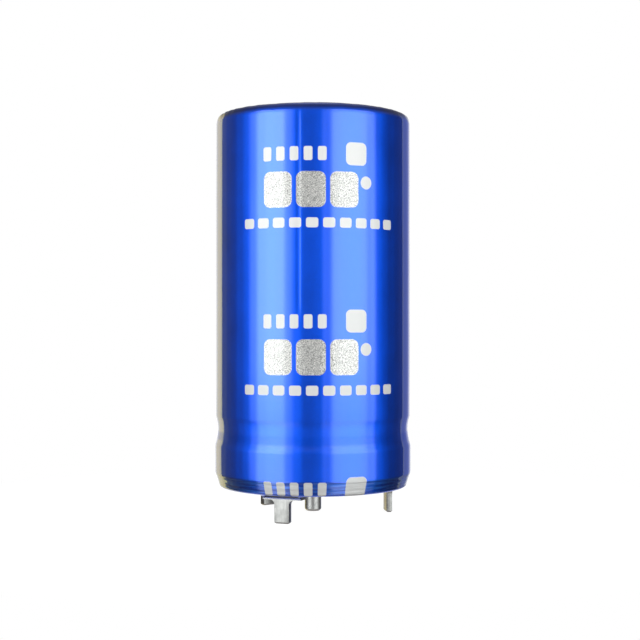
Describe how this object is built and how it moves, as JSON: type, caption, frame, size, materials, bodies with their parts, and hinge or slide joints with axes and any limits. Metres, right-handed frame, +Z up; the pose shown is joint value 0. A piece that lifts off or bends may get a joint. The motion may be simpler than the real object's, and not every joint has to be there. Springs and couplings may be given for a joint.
{
  "type": "supercapacitor",
  "caption": "Upright round electric double-layer capacitor in a blue film sleeve, with flat solder legs and a round centre pin.",
  "frame": {"origin": "middle of the seating plane, where the feet meet the circuit board and the centre pin crosses it", "axes": "+Z up along the can's axis, from the board to the closed end; +X through leg 1"},
  "size_m": [0.0356, 0.0356, 0.0722],
  "materials": {
    "can_aluminium": "bright drawn",
    "blue_film": "glossy metallic shrink film",
    "lid_aluminium": "satin",
    "gasket_rubber": "matt",
    "ring_plastic": "natural, matt",
    "electrode": "matt",
    "tape_film": "satin",
    "collector_aluminium": "satin",
    "tinned_metal": "tinned, finely brushed"
  },
  "bodies": {
    "root": {"can": "can_aluminium", "sleeve": "blue_film", "lid": "lid_aluminium", "lid_gasket": "gasket_rubber", "insulator_ring": "ring_plastic", "electrode_roll": "electrode", "roll_tape": "tape_film", "positive_collector": "collector_aluminium", "negative_collector": "collector_aluminium", "positive_pin": "tinned_metal", "negative_leg_1": "tinned_metal", "negative_leg_2": "tinned_metal", "negative_leg_3": "tinned_metal"}
  },
  "joints": []
}
